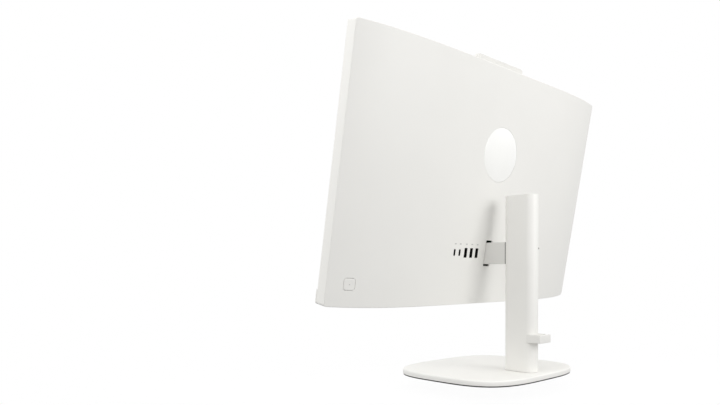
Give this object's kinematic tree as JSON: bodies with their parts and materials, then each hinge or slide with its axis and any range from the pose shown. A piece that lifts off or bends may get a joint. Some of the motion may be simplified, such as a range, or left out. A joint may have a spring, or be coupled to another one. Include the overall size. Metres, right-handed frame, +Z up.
{
  "type": "all-in-one desktop computer",
  "caption": "Slim all-in-one desktop computer: display, boards and fan in a tilting white head on a column with a rounded square base.",
  "frame": {"origin": "middle of the base mat's underside, on the surface that the computer stands on", "axes": "+Z up, +X along the screen's width, -Y the way the screen faces"},
  "size_m": [0.5408, 0.1974, 0.4447],
  "materials": {
    "shell_white": "fine moulded grain",
    "shell_grey": "fine moulded grain",
    "gloss_white": "polished",
    "painted_steel": "powder coated",
    "black_plastic": "moulded",
    "grey_plastic": "moulded",
    "dark_glass": "anti-glare",
    "rubber": "matte",
    "steel": "zinc plated",
    "nickel": "nickel plated",
    "aluminium": "extruded",
    "copper": "bare copper",
    "circuit_board": "solder mask"
  },
  "bodies": {
    "stand": {"base_plate": "painted_steel", "base_mat": "rubber", "base_screw_1": "steel", "base_screw_2": "steel", "stand_column": "shell_white", "column_cap": "shell_white", "column_core": "steel", "cable_clip": "shell_white", "hinge_arm": "steel", "arm_sleeve": "shell_grey", "hinge_pin": "steel", "friction_washer_left": "steel", "friction_washer_right": "steel", "hinge_nut_left": "steel", "hinge_nut_right": "steel"},
    "head": {"rear_cover": "shell_white", "badge_plate": "gloss_white", "bezel_frame": "black_plastic", "display_glass": "dark_glass", "backlight_tray": "grey_plastic", "chin_bar": "shell_white", "chassis_tray": "steel", "motherboard": "circuit_board", "memory_module_1": "circuit_board", "memory_module_2": "circuit_board", "solid_state_drive": "circuit_board", "wireless_card": "circuit_board", "coin_cell": "steel", "cold_plate": "copper", "heat_pipe": "copper", "heat_sink": "aluminium", "fan_housing": "black_plastic", "speaker_left": "black_plastic", "speaker_right": "black_plastic", "button_board": "circuit_board", "hinge_lug_left": "steel", "hinge_lug_right": "steel", "camera_bracket": "steel", "camera_pin_left": "steel", "camera_pin_right": "steel", "hinge_screw_left_1": "steel", "hinge_screw_left_2": "steel", "hinge_screw_right_1": "steel", "hinge_screw_right_2": "steel", "usb_a_socket_1": "nickel", "usb_a_socket_2": "nickel", "usb_a_socket_3": "nickel", "usb_c_socket_1": "nickel", "usb_c_socket_2": "nickel", "network_socket": "nickel", "video_socket": "nickel", "audio_socket": "black_plastic", "power_inlet": "black_plastic"},
    "camera": {"camera_bar": "shell_white", "camera_lens": "dark_glass"},
    "fan": {"fan_impeller": "black_plastic"},
    "button": {"power_button": "shell_white"}
  },
  "joints": [
    {"name": "head_tilt", "type": "hinge", "parent": "stand", "child": "head", "pos_m": [0, -0.0087, 0.1721], "axis": [1, 0, 0], "range_deg": [-9.6, 15.4]},
    {"name": "camera_tilt", "type": "hinge", "parent": "head", "child": "camera", "pos_m": [0, 0.01758, 0.42349], "axis": [1, 0, 0], "range_deg": [-10, 10]},
    {"name": "fan_spin", "type": "hinge", "parent": "head", "child": "fan", "pos_m": [-0.06, 0.01072, 0.34992], "axis": [0, 0.9836, -0.1805], "continuous": true},
    {"name": "button_press", "type": "slide", "parent": "head", "child": "button", "axis": [0, -0.9836, 0.1805], "range_m": [0, 0.0008], "stiffness_N_per_m": 2500}
  ]
}
